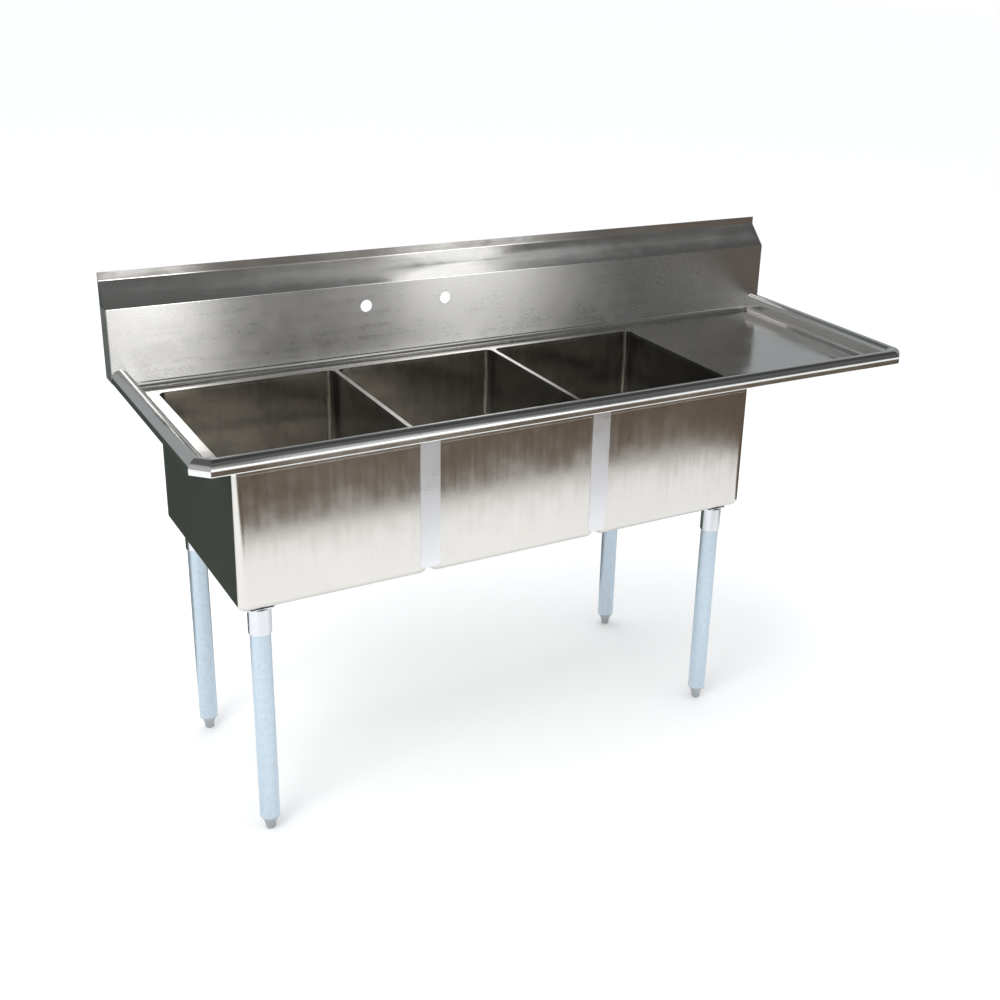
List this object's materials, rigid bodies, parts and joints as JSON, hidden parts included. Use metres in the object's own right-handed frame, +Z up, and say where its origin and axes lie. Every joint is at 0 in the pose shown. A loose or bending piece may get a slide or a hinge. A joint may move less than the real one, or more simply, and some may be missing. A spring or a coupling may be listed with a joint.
{
  "type": "three compartment sink",
  "caption": "Stainless scullery sink with deep coved bowls, right-hand drainboard, rolled rim, boxed backsplash and round legs with adjustable feet.",
  "frame": {"origin": "centre of the sink's outline seen from above, on the floor", "axes": "+X along the sink towards the drainboard, +Y back towards the wall, +Z up"},
  "size_m": [1.7526, 0.6478, 1.0668],
  "materials": {
    "bowl_steel": "brushed",
    "deck_steel": "brushed",
    "rim_steel": "brushed",
    "splash_steel": "brushed",
    "strip_steel": "brushed",
    "channel_steel": "mill",
    "socket_steel": "satin",
    "screw_steel": "black oxide",
    "galvanised_tube": "galvanised",
    "insert_plastic": "satin",
    "foot_steel": "satin",
    "drain_steel": "polished",
    "gasket_rubber": "matte",
    "locknut_brass": "cast",
    "basket_steel": "polished"
  },
  "bodies": {
    "sink": {"backsplash": "splash_steel", "bowl_left": "bowl_steel", "bowl_middle": "bowl_steel", "bowl_right": "bowl_steel", "drain_body_left": "drain_steel", "drain_body_middle": "drain_steel", "drain_body_right": "drain_steel", "drain_gasket_left": "gasket_rubber", "drain_gasket_middle": "gasket_rubber", "drain_gasket_right": "gasket_rubber", "drain_locknut_left": "locknut_brass", "drain_locknut_middle": "locknut_brass", "drain_locknut_right": "locknut_brass", "drainboard": "deck_steel", "drainboard_channel_back": "channel_steel", "drainboard_channel_front": "channel_steel", "foot_insert_back_left": "insert_plastic", "foot_insert_back_right": "insert_plastic", "foot_insert_front_left": "insert_plastic", "foot_insert_front_right": "insert_plastic", "front_rim": "rim_steel", "left_rim": "rim_steel", "leg_bracket_back_left": "socket_steel", "leg_bracket_back_right": "socket_steel", "leg_bracket_front_left": "socket_steel", "leg_bracket_front_right": "socket_steel", "leg_socket_back_left": "socket_steel", "leg_socket_back_right": "socket_steel", "leg_socket_front_left": "socket_steel", "leg_socket_front_right": "socket_steel", "leg_tube_back_left": "galvanised_tube", "leg_tube_back_right": "galvanised_tube", "leg_tube_front_left": "galvanised_tube", "leg_tube_front_right": "galvanised_tube", "right_rim": "rim_steel", "rim_corner_left": "rim_steel", "rim_corner_right": "rim_steel", "seam_strip_left": "strip_steel", "seam_strip_right": "strip_steel", "socket_set_screws": "screw_steel", "splash_end_cap_left": "splash_steel", "splash_end_cap_right": "splash_steel", "top_deck": "deck_steel"},
    "foot_front_left": {"bullet_foot_front_left": "foot_steel"},
    "foot_front_right": {"bullet_foot_front_right": "foot_steel"},
    "foot_back_left": {"bullet_foot_back_left": "foot_steel"},
    "foot_back_right": {"bullet_foot_back_right": "foot_steel"},
    "basket_left": {"strainer_basket_left": "basket_steel", "strainer_screen_left": "basket_steel", "strainer_knob_left": "basket_steel"},
    "basket_middle": {"strainer_basket_middle": "basket_steel", "strainer_screen_middle": "basket_steel", "strainer_knob_middle": "basket_steel"},
    "basket_right": {"strainer_basket_right": "basket_steel", "strainer_screen_right": "basket_steel", "strainer_knob_right": "basket_steel"}
  },
  "joints": [
    {"name": "foot_screw_front_left", "type": "slide", "parent": "sink", "child": "foot_front_left", "axis": [0, 0, 1], "range_m": [-0.01, 0.015]},
    {"name": "foot_screw_front_right", "type": "slide", "parent": "sink", "child": "foot_front_right", "axis": [0, 0, 1], "range_m": [-0.01, 0.015]},
    {"name": "foot_screw_back_left", "type": "slide", "parent": "sink", "child": "foot_back_left", "axis": [0, 0, 1], "range_m": [-0.01, 0.015]},
    {"name": "foot_screw_back_right", "type": "slide", "parent": "sink", "child": "foot_back_right", "axis": [0, 0, 1], "range_m": [-0.01, 0.015]},
    {"name": "basket_lift_left", "type": "slide", "parent": "sink", "child": "basket_left", "axis": [0, 0, 1], "range_m": [0, 0.36]},
    {"name": "basket_lift_middle", "type": "slide", "parent": "sink", "child": "basket_middle", "axis": [0, 0, 1], "range_m": [0, 0.36]},
    {"name": "basket_lift_right", "type": "slide", "parent": "sink", "child": "basket_right", "axis": [0, 0, 1], "range_m": [0, 0.36]}
  ]
}
